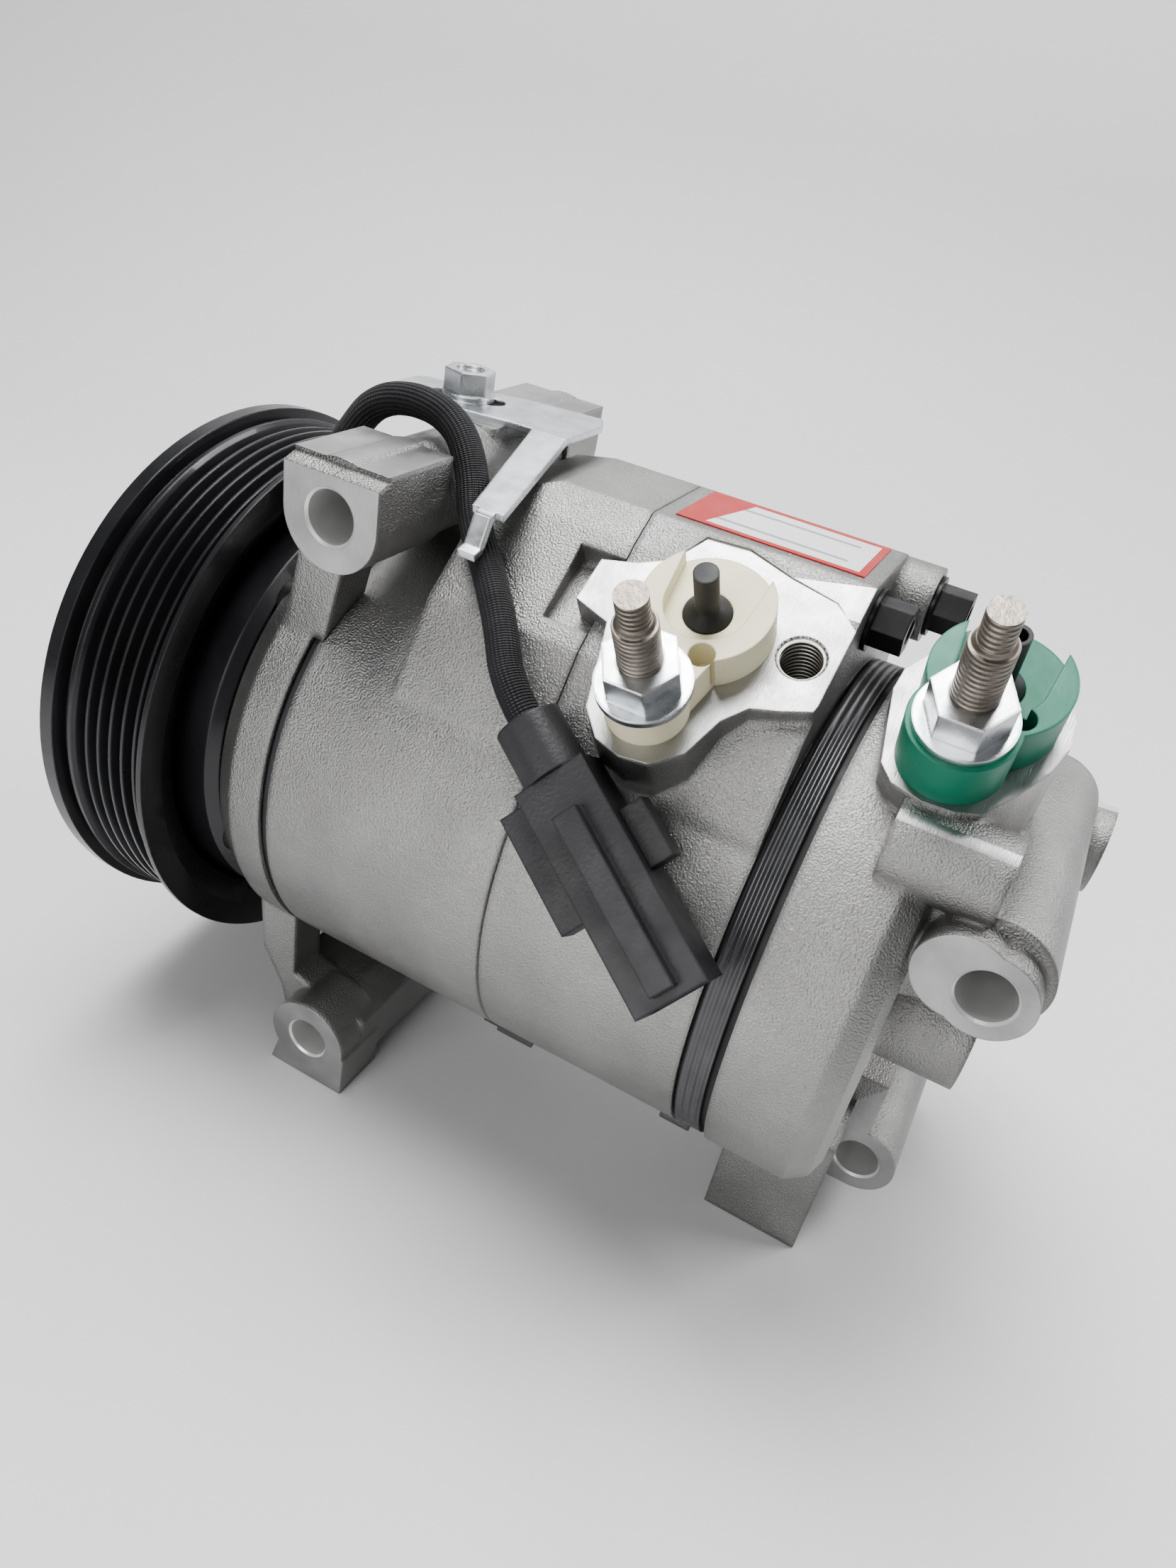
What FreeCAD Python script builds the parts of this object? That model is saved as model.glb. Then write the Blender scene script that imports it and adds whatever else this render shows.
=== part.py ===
import FreeCAD, Part
import math
import os

# Double-ended swash-plate refrigerant compressor with an electromagnetic clutch.
# Row frame in millimetres: the shaft lies along Y with the pulley at -Y, +Z is up,
# and the origin is on the shaft axis in the middle plane of the belt grooves.

V = FreeCAD.Vector

# ---------------------------------------------------------------- driving dimensions
# fits and clearances
RUNNING_GAP = 0.05          # radial gap of a shaft in its bore
SLIDING_GAP = 0.03          # radial gap of a piston in its bore
FREE_GAP = 0.3              # gap between faces that never touch
BOLT_HOLE_GAP = 0.3         # radial gap of a bolt in a clearance hole
SEAT_GAP = 0.02             # radial gap of a located ring or plate

# casing, along the shaft
BODY_R = 57.3
REAR_BODY_R = 57.9
COIL_SEAT_Y = 20.0          # front face of the front housing
FRONT_SEAM_Y = 37.0
MID_SEAM_Y = 94.5
REAR_SEAM_Y = 141.5
REAR_PACK_Y = 149.5         # rear side of the valve plate pack
REAR_END_Y = 173.5
SEAM_LAND_R = 54.6          # the recessed band that shows between two castings
SEAM_BAND = 1.1             # half width of that band
FLOOR_Z = -81.0

# shaft, cylinders and pistons
SHAFT_R = 9.0
SHAFT_NOSE_R = 7.5
SHAFT_FRONT_Y = -11.0
SHAFT_STEP_Y = 24.0
SHAFT_REAR_Y = 135.0
CYLINDERS = 5
BORE_R = 15.0
BORE_CIRCLE_R = 34.0
FIRST_BORE_DEG = 90.0
STROKE = 20.0
SWASH_R = 42.0
SWASH_T = 12.0
SWASH_HUB_R = 15.0
SWASH_HUB_HALF = 16.5
CHAMBER_R = 45.0
THRUST_T = 3.5
SHOE_BALL_R = 11.0
PISTON_SLOT_HALF = 9.5
PISTON_END_GAP = 0.6
RING_W = 2.0
RING_DEPTH = 1.2
RING_INSET = 5.0
NEEDLE_R = 13.0
NEEDLE_LEN = 15.0
NEEDLE_INSET = 6.0
BOLT_CIRCLE_R = 49.0
BOLT_R = 3.0
BOLT_HEAD_R = 5.5
BOLT_HEAD_H = 5.0
PLATE_T = 3.2
REED_T = 0.4
GASKET_T = 0.6

# front housing nose and clutch
NOSE_R = 17.5
NOSE_FRONT_Y = -10.6
BEARING_W = 20.0
BEARING_FRONT_Y = -8.0
BEARING_OUT_R = 26.0
BEARING_RING_T = 2.2
BEARING_BALL_R = 2.6
BEARING_ROW = 4.0
BALL_COUNT = 18
COIL_SEAT_R = 22.0
SEAL_R = 14.0
SEAL_Y = (8.0, 18.0)
SNAP_T = 1.5

PULLEY_R = 68.0
PULLEY_FRONT_Y = -19.3
PULLEY_REAR_Y = 12.2
RIM_W = 4.5
RIB_TIP_R = 65.4
RIB_DEPTH = 3.1
RIB_PITCH = 3.56
RIB_COUNT = 6
FLANGE_T = 2.0
RIM_IN_R = 60.5
FRICTION_Y = -8.0
WEB_T = 5.5
ROTOR_HUB_R = 29.8
SLOT_RINGS = ((38.0, 40.6), (47.5, 50.1))
SLOT_COUNT = 6
SLOT_DEG = 44.0

COIL_IN_R = 31.2
COIL_OUT_R = 54.5
COIL_WALL = 2.4
COIL_FRONT_Y = 0.0
COIL_PLATE_T = 2.5

AIR_GAP = 0.4
ARMATURE_T = 4.0
ARMATURE_R = (31.0, 56.5)
SPRING_T = 0.8
HUB_PLATE_T = 2.5
HUB_PLATE_R = 27.0
HUB_SLEEVE_R = 11.5
SPRINGS = 3
SPRING_W = 13.0
RIVET_R = 2.6
RIVET_HEAD_R = 4.2
RIVET_HEAD_H = 1.2
HUB_RIVET_R = 21.0
ARM_RIVET_R = 49.0
SPRING_SWEEP = 62.0

# mounting ears, all bored along X for M10 bolts
EAR_BORE_R = 5.4
EAR_CHAMFER = 0.5
EAR_FACE_X = 49.4
TOP_EAR = (45.9, 72.1)      # (Y, Z) of the upper front bore
TOP_EAR_HALF = 11.0
TOP_EAR_UP = 10.4
TOP_EAR_FAR_X = -40.0
TOP_BAR_R = 10.2            # the bar is round between its two D-shaped ends
TOP_BAR_X = (-24.0, 25.5)
LOW_EAR_FACE_X = 50.9
LOW_EAR = (46.4, -67.5)
LOW_EAR_FAR_X = -49.0
LOW_FOOT = ((35.0, -81.0), (57.5, -81.0), (57.9, -69.0), (42.0, -57.6))
REAR_EAR_FACE_X = 45.0
REAR_EAR = (187.0, 29.0)
REAR_EAR_R = 9.0
REAR_EAR_STRETCH = 5.0
REAR_BAR_R = 11.5
REAR_EAR_FAR_X = -34.0
LOW_REAR_EAR = (181.0, -62.0)
LOW_REAR_EAR_R = 9.5
LOW_REAR_NEAR_X = 6.0
LOW_REAR_FAR_X = -44.0

# refrigerant ports: both pads have an M8 stud, a port bore and a shipping cap
SUCTION_DEG = 56.0          # angle of the pad's normal above +X
DISCHARGE_DEG = 60.0
SUCTION_PAD_H = 70.0
DISCHARGE_PAD_H = 65.0
PAD_LUG_T = 6.0             # thickness where the suction pad overhangs the front cylinder
STUD_R = 4.0
STUD_BELOW = 14.0
STUD_TIP_R = 2.9
STUD_TIP_L = 8.0
PORT_R = 8.0
DISCHARGE_PORT_R = 6.5
PORT_DEPTH = 16.0
NUT_AF = 13.0
NUT_H = 8.3
NUT_FLANGE_R = 8.95
NUT_FLANGE_H = 1.6
CAP_WALL = 4.6              # crescent wall of a cap
CAP_PORT_R = 12.7
CAP_STEP = 3.4              # how far the cap's floor lies below its top face
PLUG_BASE_R = 4.6
PLUG_STEM_R = 2.35
# stud and port as (Y, T) on the pad, olive hole, boss radius, cap height, stud length, stem top
SUCTION_SET = ((113.8, -4.0), (116.4, 16.2), (120.4, 5.6), 7.9, 8.3, 34.5, 17.0)
DISCHARGE_SET = ((165.7, 7.8), (168.2, 19.8), (174.0, 12.6), 9.8, 11.3, 40.8, 22.5)
SUCTION_THREAD = (134.8, 17.2)
THREAD_R = 4.0
THREAD_DEPTH = 18.0

# raised hump along the top of both cylinder castings, (X, Z)
HUMP = ((46.0, 31.0), (43.5, 39.0), (39.5, 46.5), (33.5, 56.5), (25.0, 64.5), (15.5, 74.0),
        (9.0, 79.0), (-16.0, 79.0), (-27.0, 73.0), (-37.0, 60.0), (-42.0, 48.0),
        (-46.0, 33.0), (-30.0, 20.0), (30.0, 20.0))
HUMP_TOP_Z = 79.0
HUMP_FRONT_Y = 59.5
LUG_BOSS_R = 8.0
LUG_BOLT_R = 3.0
LUG_HEX = 9.0
LUGS = ((2.5, 70.5, 126.0, 141.4), (-18.6, 69.5, 126.0, 149.3))    # (X, Z, front Y, rear Y)
BRACKET_BOLT = (-9.0, 37.5)     # (X, Y)
BRACKET_BOLT_R = 3.0
BRACKET_T = 1.6
ARM_DEG = 13.5              # how far the bracket's arm is bent down
ARM_L = 32.6
LABEL_BOX = (-15.0, 6.0, 98.0, 138.0)   # X and Y limits on the flat top of the hump
LABEL_T = 0.25

# wiring
LEAD_R = 3.4
LEAD_POINTS = (
    (15.0, 17.4, 57.0),
    (15.0, 17.4, 69.0),
    (15.0, 21.0, 81.5),
    (15.0, 30.0, 90.0),
    (15.3, 41.5, 92.0),
    (17.5, 52.0, 88.6),
    (20.5, 58.6, 80.5),
    (24.5, 61.8, 70.0),
    (31.5, 71.0, 64.5),
    (39.5, 80.0, 58.5),
    (45.6, 86.2, 51.0),
    (48.5, 93.5, 46.6),
)
COIL_GLAND_R = 4.4
CONNECTOR_AXIS = (0.326, 0.808, -0.489)
CONNECTOR_OUT = (0.87, 0.0, 0.49)
GLAND_L = 12.0
GLAND_R = 6.6
SHELL_L = 45.9
SHELL_W = 15.0
SHELL_H = 11.0
SOCKET_DEPTH = 18.0


# ---------------------------------------------------------------- geometry helpers
def cyl(radius, y0, y1, x=0.0, z=0.0):
    """Cylinder along Y."""
    return Part.makeCylinder(radius, y1 - y0, V(x, y0, z), V(0, 1, 0))


def tube(r_out, r_in, y0, y1, x=0.0, z=0.0):
    """Ring along Y."""
    return cyl(r_out, y0, y1, x, z).cut(cyl(r_in, y0 - 1, y1 + 1, x, z))


def xcyl(radius, x0, x1, y, z):
    """Cylinder along X."""
    return Part.makeCylinder(radius, x1 - x0, V(x0, y, z), V(1, 0, 0))


def box(x0, x1, y0, y1, z0, z1):
    return Part.makeBox(x1 - x0, y1 - y0, z1 - z0, V(x0, y0, z0))


def revolve(profile):
    """Solid of revolution about Y from (radius, y) points."""
    points = [V(r, y, 0) for r, y in profile]
    face = Part.Face(Part.makePolygon(points + points[:1]))
    return face.revolve(V(0, 0, 0), V(0, 1, 0), 360)


def xprism(outline, x0, x1):
    """Prism along X from (y, z) points."""
    points = [V(x0, y, z) for y, z in outline]
    face = Part.Face(Part.makePolygon(points + points[:1]))
    return face.extrude(V(x1 - x0, 0, 0))


def zprism(outline, z0, z1):
    """Prism along Z from (x, y) points."""
    points = [V(x, y, z0) for x, y in outline]
    face = Part.Face(Part.makePolygon(points + points[:1]))
    return face.extrude(V(0, 0, z1 - z0))


def yprism(outline, y0, y1):
    """Prism along Y from (x, z) points."""
    points = [V(x, y0, z) for x, z in outline]
    face = Part.Face(Part.makePolygon(points + points[:1]))
    return face.extrude(V(0, y1 - y0, 0))


def zcyl(radius, z0, z1, x=0.0, y=0.0):
    return Part.makeCylinder(radius, z1 - z0, V(x, y, z0), V(0, 0, 1))


def union(shapes):
    shapes = list(shapes)
    if len(shapes) == 1:
        return shapes[0]
    return shapes[0].fuse(shapes[1:]).removeSplitter()


def group(shapes):
    """Separate solids kept together in one node."""
    return Part.makeCompound([solid for shape in shapes for solid in shape.Solids])


def around(shape, count, first_deg=0.0):
    """Copies of a shape spaced evenly about the Y axis."""
    copies = []
    for index in range(count):
        turned = shape.copy()
        turned.rotate(V(0, 0, 0), V(0, 1, 0), -(first_deg + 360.0 * index / count))
        copies.append(turned)
    return copies


def polar(radius, degrees):
    """X and Z of a point at an angle from +X towards +Z."""
    angle = math.radians(degrees)
    return radius * math.cos(angle), radius * math.sin(angle)


def hexagon(across_flats, z0, z1):
    radius = across_flats / math.sqrt(3.0)
    corners = [(radius * math.cos(math.radians(60 * k)), radius * math.sin(math.radians(60 * k)))
               for k in range(6)]
    return zprism(corners, z0, z1)


def biggest(shape):
    return max(shape.Solids, key=lambda solid: solid.Volume)


def slot_prism(p, q, radius, z0, z1):
    """Obround prism along Z between two (x, y) centres."""
    shapes = [zcyl(radius, z0, z1, *p), zcyl(radius, z0, z1, *q)]
    dx, dy = q[0] - p[0], q[1] - p[1]
    length = math.hypot(dx, dy)
    nx, ny = -dy / length * radius, dx / length * radius
    outline = [(p[0] + nx, p[1] + ny), (q[0] + nx, q[1] + ny),
               (q[0] - nx, q[1] - ny), (p[0] - nx, p[1] - ny)]
    return union(shapes + [zprism(outline, z0, z1)])


class Pad:
    """Local frame of a port pad: x along the shaft, y around the casing, z outwards."""

    def __init__(self, degrees, height):
        angle = math.radians(degrees)
        normal = V(math.cos(angle), 0, math.sin(angle))
        across = V(-math.sin(angle), 0, math.cos(angle))
        turn = FreeCAD.Rotation(V(0, 1, 0), across, normal, "ZXY")
        self.place = FreeCAD.Placement(normal * height, turn)

    def put(self, shape):
        placed = shape.copy()
        placed.Placement = self.place.multiply(placed.Placement)
        return placed


SUCTION = Pad(SUCTION_DEG, SUCTION_PAD_H)
DISCHARGE = Pad(DISCHARGE_DEG, DISCHARGE_PAD_H)

SWASH_Y = (FRONT_SEAM_Y + REAR_SEAM_Y) / 2.0
TILT = math.degrees(math.atan(STROKE / (2.0 * BORE_CIRCLE_R)))
CHAMBER_HALF = SWASH_HUB_HALF + THRUST_T


def swash_slab(radius, thickness):
    """Tilted disc centred on the shaft."""
    disc = Part.makeCylinder(radius, thickness, V(0, -thickness / 2.0, 0), V(0, 1, 0))
    disc.rotate(V(0, 0, 0), V(1, 0, 0), TILT)
    disc.translate(V(0, SWASH_Y, 0))
    return disc


def bore_place(index):
    """X, Z and swash offset of one cylinder bore."""
    x, z = polar(BORE_CIRCLE_R, FIRST_BORE_DEG + 360.0 * index / CYLINDERS)
    return x, z, -z * math.tan(math.radians(TILT))


def bolt_places():
    for index in range(CYLINDERS):
        yield polar(BOLT_CIRCLE_R, FIRST_BORE_DEG + 360.0 * (index + 0.5) / CYLINDERS)


def bolt_holes(y0, y1, gap=BOLT_HOLE_GAP):
    return [cyl(BOLT_R + gap, y0, y1, x, z) for x, z in bolt_places()]


def chamfered_bore_x(radius, x0, x1, y, z, chamfer):
    """Bore along X with a small chamfer at both mouths."""
    cones = []
    for x, direction in ((x0, 1), (x1, -1)):
        cones.append(Part.makeCone(radius + chamfer, radius, chamfer, V(x, y, z), V(direction, 0, 0)))
    return union([xcyl(radius, x0 - 1, x1 + 1, y, z)] + cones)


# ---------------------------------------------------------------- castings
def top_bar():
    """Upper front mounting bar: round, with D-shaped ends and a flat seat for the bracket."""
    y, z = TOP_EAR
    half, up = TOP_EAR_HALF, TOP_EAR_UP
    near, far = EAR_FACE_X, TOP_EAR_FAR_X
    x0, x1 = TOP_BAR_X
    pieces = [xcyl(TOP_BAR_R, far, near, y, z), box(-26.0, 2.0, y - 8.0, y + 6.0, z, z + up)]
    for start, end in ((far, x0), (x1, near)):
        pieces += [xcyl(half, start, end, y, z), box(start, end, y - half, y + half, z, z + up)]
    bar = union(pieces)
    bevel = xprism([(y - half - 1, z + up + 1), (y + half + 1, z + up + 1),
                    (y + half + 1, z + up - 1), (y - half - 1, z + up - 1)], near - 3, near + 1)
    bevel.rotate(V(near - 3, y, z + up), V(0, 1, 0), 20)
    return bar.cut(bevel)


def top_bar_webs():
    """Legs that carry the upper bar down to the front housing."""
    y, z = TOP_EAR
    rear = y - 2.0
    front = COIL_SEAT_Y + 6.0
    webs = []
    for x0, x1 in ((30.0, 41.0), (-34.0, -24.0), (-8.0, 6.0)):
        low = math.sqrt(max(BODY_R ** 2 - max(abs(x0), abs(x1)) ** 2, 0.0)) - 14.0
        outline = [(front, low), (FRONT_SEAM_Y - SEAM_BAND, low), (rear, z - 9.0),
                   (rear, z + 4.0), (y - TOP_EAR_HALF + 0.4, z + 4.0), (front + 2.0, low + 12.0)]
        webs.append(xprism(outline, x0, x1))
    return webs


def low_bar():
    """Lower front foot: a bored bar that the compressor rests on, with a leg to the housing."""
    y, z = LOW_EAR
    near, far = LOW_EAR_FACE_X, LOW_EAR_FAR_X
    ears = []
    for x0, x1 in ((near - 15.0, near), (far, far + 15.0)):
        foot = union([xprism(LOW_FOOT, x0, x1), xcyl(TOP_EAR_HALF, x0, x1, y, z)])
        ears.append(foot.common(box(x0, x1, y - 40, y + 40, FLOOR_Z, z + 40)))
    beam = xprism([(34.0, -75.5), (57.5, -75.5), (57.5, -62.0), (49.0, -58.5), (30.0, -58.5)],
                  far + 8, near - 8)
    legs = []
    for x0, x1 in ((near - 17.0, near - 7.0), (far + 7.0, far + 17.0)):
        outline = [(COIL_SEAT_Y + 5.0, -36.0), (FRONT_SEAM_Y - SEAM_BAND, -36.0),
                   (FRONT_SEAM_Y - SEAM_BAND, -56.0), (y + 2.0, z + 8.0), (y - 8.0, z - 6.0),
                   (COIL_SEAT_Y + 6.0, -52.0)]
        legs.append(xprism(outline, x0, x1))
    middle = xprism([(COIL_SEAT_Y + 6.0, -48.0), (FRONT_SEAM_Y - SEAM_BAND, -48.0),
                     (FRONT_SEAM_Y + 3.0, -62.0), (31.0, -64.0)], -20.0, 20.0)
    return ears + [beam, middle] + legs


def front_housing():
    shell = revolve([(NOSE_R - 2.3, NOSE_FRONT_Y), (NOSE_R, NOSE_FRONT_Y),
                     (NOSE_R, BEARING_FRONT_Y + BEARING_W), (COIL_SEAT_R, BEARING_FRONT_Y + BEARING_W),
                     (COIL_SEAT_R, COIL_SEAT_Y), (50.5, COIL_SEAT_Y), (54.5, COIL_SEAT_Y + 2.2),
                     (BODY_R, COIL_SEAT_Y + 7.5), (BODY_R, FRONT_SEAM_Y - SEAM_BAND),
                     (SEAM_LAND_R, FRONT_SEAM_Y - SEAM_BAND), (SEAM_LAND_R, FRONT_SEAM_Y),
                     (NOSE_R - 2.3, FRONT_SEAM_Y)])
    body = union([shell, top_bar()] + top_bar_webs() + low_bar())
    seat_y0, seat_y1 = SEAL_Y
    cuts = [cyl(SEAL_R, NOSE_FRONT_Y - 1, seat_y1), cyl(SHAFT_R + 1.0, 0, FRONT_SEAM_Y + 1)]
    cuts.append(cyl(NOSE_R - 2.3 + 0.01, FRONT_SEAM_Y - 6.0, FRONT_SEAM_Y + 1))
    cuts.append(tube(26.0, 18.0, FRONT_SEAM_Y - 11.0, FRONT_SEAM_Y + 1))
    cuts.append(tube(43.5, 29.5, FRONT_SEAM_Y - 11.0, FRONT_SEAM_Y + 1))
    cuts.append(cyl(52.2, FRONT_SEAM_Y - PLATE_T - REED_T - GASKET_T, FRONT_SEAM_Y + 1))
    cuts += bolt_holes(COIL_SEAT_Y - 1, FRONT_SEAM_Y + 1)
    cuts += [cyl(BOLT_HEAD_R + 0.6, COIL_SEAT_Y - 1, COIL_SEAT_Y + BOLT_HEAD_H + 0.5, x, z)
             for x, z in bolt_places()]
    cuts.append(tube(NOSE_R + 1, NOSE_R - 1.0, NOSE_FRONT_Y + 1.0, NOSE_FRONT_Y + 1.0 + SNAP_T + 0.1))
    cuts.append(tube(COIL_SEAT_R + 1, COIL_SEAT_R - 1.0, COIL_SEAT_Y - COIL_PLATE_T - SNAP_T - 0.1,
                     COIL_SEAT_Y - COIL_PLATE_T))
    cuts.append(tube(SEAL_R + 1.2, SEAL_R - 1, seat_y0 - SNAP_T - 0.1, seat_y0))
    y, z = TOP_EAR
    cuts.append(chamfered_bore_x(EAR_BORE_R, TOP_EAR_FAR_X, EAR_FACE_X, y, z, EAR_CHAMFER))
    y, z = LOW_EAR
    cuts.append(chamfered_bore_x(EAR_BORE_R, LOW_EAR_FAR_X, LOW_EAR_FACE_X, y, z, EAR_CHAMFER))
    bolt_x, bolt_y = BRACKET_BOLT
    seat_z = TOP_EAR[1] + TOP_EAR_UP
    cuts.append(zcyl(BRACKET_BOLT_R, seat_z - 9.2, seat_z + 1, bolt_x, bolt_y))
    cuts.append(cyl(BODY_R + FREE_GAP, FRONT_SEAM_Y - SEAM_BAND, FRONT_SEAM_Y + 60.0).cut(
        cyl(SEAM_LAND_R, FRONT_SEAM_Y - 2 * SEAM_BAND, FRONT_SEAM_Y)))
    return biggest(body.cut(cuts))


def block_core(y0, y1, chamber0, chamber1, needle0):
    """Bores, shaft passage, crank chamber and bolt holes of one cylinder block."""
    cuts = [cyl(SHAFT_R + 1.0, y0 - 1, y1 + 1), cyl(NEEDLE_R, needle0, needle0 + NEEDLE_LEN),
            cyl(CHAMBER_R, chamber0, chamber1)]
    for index in range(CYLINDERS):
        x, z, _ = bore_place(index)
        cuts.append(cyl(BORE_R, y0 - 1, y1 + 1, x, z))
    return cuts + bolt_holes(y0 - 1, y1 + 1)


def sector(r_in, r_out, degrees, half_deg, y0, y1):
    """Part of a ring about the shaft, spanning an angle."""
    points = [V(0, y0, 0)]
    for angle in (degrees - half_deg, degrees + half_deg):
        x, z = polar(r_out * 2.0, angle)
        points.append(V(x, y0, z))
    wedge = Part.Face(Part.makePolygon(points + points[:1])).extrude(V(0, y1 - y0, 0))
    return tube(r_out, r_in, y0, y1).common(wedge)


def pocket(degrees, half_deg, y0, y1, depth, radius=BODY_R):
    """Shallow cast pocket to be cut in the side of a cylindrical casting."""
    return sector(radius - depth, radius + 4.0, degrees, half_deg, y0, y1)


def hump(y0, y1):
    return yprism(HUMP, y0, y1)


def front_cylinder():
    band = SEAM_BAND
    shell = revolve([(2.0, FRONT_SEAM_Y), (SEAM_LAND_R, FRONT_SEAM_Y), (SEAM_LAND_R, FRONT_SEAM_Y + band),
                     (BODY_R, FRONT_SEAM_Y + band), (BODY_R, MID_SEAM_Y - 0.35),
                     (BODY_R - 0.9, MID_SEAM_Y), (2.0, MID_SEAM_Y)])
    top = hump(HUMP_FRONT_Y, MID_SEAM_Y - 0.3).cut(
        xprism([(HUMP_FRONT_Y - 1, HUMP_TOP_Z - 5.0), (HUMP_FRONT_Y + 14.0, HUMP_TOP_Z + 0.1),
                (HUMP_FRONT_Y - 1, HUMP_TOP_Z + 1.0)], -60.0, 60.0))
    foot_lug = union([box(-2.0, 19.0, 80.0, 94.0, -66.0, -50.0), box(2.0, 14.0, 82.0, 93.0, -73.0, -60.0)])
    body = union([shell, top, foot_lug])
    cuts = block_core(FRONT_SEAM_Y, MID_SEAM_Y, SWASH_Y - CHAMBER_HALF, MID_SEAM_Y + 1,
                      FRONT_SEAM_Y + NEEDLE_INSET)
    cuts += [pocket(175, 16, FRONT_SEAM_Y + 10, MID_SEAM_Y - 12, 2.0),
             SUCTION.put(box(84.0, MID_SEAM_Y + 1.0, 8.0, 25.0, -PAD_LUG_T - FREE_GAP, 20.0))]
    return biggest(body.cut(cuts))


def suction_pad_outline():
    """Machined face of the suction pad, (Y, T)."""
    return [(90.0, 22.6), (89.9, 12.4), (98.0, 9.8), (100.2, 2.6), (103.4, -8.4), (108.0, -13.4),
            (113.6, -15.0), (119.2, -14.2), (124.2, -9.6), (127.0, -1.0), (130.6, 3.6), (136.0, 5.4),
            (141.2, 7.6), (142.3, 13.0), (142.2, 26.0), (136.0, 31.0), (126.0, 33.0), (116.0, 36.0),
            (107.0, 35.4), (103.0, 28.0), (97.0, 24.6)]


def rear_cylinder():
    band = SEAM_BAND
    shell = revolve([(2.0, MID_SEAM_Y), (BODY_R - 0.9, MID_SEAM_Y), (BODY_R, MID_SEAM_Y + 0.35),
                     (BODY_R, REAR_SEAM_Y), (2.0, REAR_SEAM_Y)])
    pad = SUCTION.put(zprism(suction_pad_outline(), -20.0, 0.0)).cut(
        [SUCTION.put(box(80.0, MID_SEAM_Y + FREE_GAP, 0.0, 40.0, -30.0, -PAD_LUG_T)),
         box(-80.0, 80.0, REAR_SEAM_Y, REAR_SEAM_Y + 9.0, -80.0, 90.0)])
    face_cut = SUCTION.put(zprism(suction_pad_outline(), 0.0, 20.0))
    top = hump(MID_SEAM_Y, REAR_SEAM_Y - 0.1)
    lugs = [cyl(LUG_BOSS_R, y0, y1, x, z) for x, z, y0, y1 in LUGS]
    foot_lug = union([box(4.0, 16.0, 131.0, 141.0, -66.0, -48.0), box(6.0, 13.0, 132.0, 140.5, -74.0, -60.0)])
    body = union([union([shell, top]).cut(face_cut), pad, foot_lug] + lugs)
    cuts = block_core(MID_SEAM_Y, REAR_SEAM_Y, MID_SEAM_Y - 1, SWASH_Y + CHAMBER_HALF,
                      REAR_SEAM_Y - NEEDLE_INSET - NEEDLE_LEN)
    cuts.append(SUCTION.put(zcyl(PORT_R, -PORT_DEPTH, 1, *SUCTION_SET[1])))
    cuts.append(SUCTION.put(zcyl(STUD_R, -STUD_BELOW, 1, *SUCTION_SET[0])))
    cuts.append(SUCTION.put(zcyl(THREAD_R, -THREAD_DEPTH, 1, *SUCTION_THREAD)))
    y, t = SUCTION_THREAD
    cuts.append(SUCTION.put(Part.makeCone(THREAD_R, THREAD_R + 0.9, 0.9, V(y, t, -0.9))))
    cuts += [cyl(LUG_BOLT_R, y0, y1 + 1, x, z) for x, z, y0, y1 in LUGS]
    return biggest(body.cut(cuts))


def discharge_pad_outline():
    """Machined face of the discharge pad, (Y, T)."""
    return [(155.2, 1.5), (158.2, -1.6), (164.3, -3.0), (170.0, -2.6), (174.3, -1.0), (178.8, 5.9),
            (182.2, 12.5), (183.6, 18.5), (183.2, 24.0), (180.4, 29.5), (175.0, 33.5), (161.0, 33.5),
            (154.8, 28.5), (151.6, 22.5), (151.3, 17.5), (153.3, 9.0)]


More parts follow.
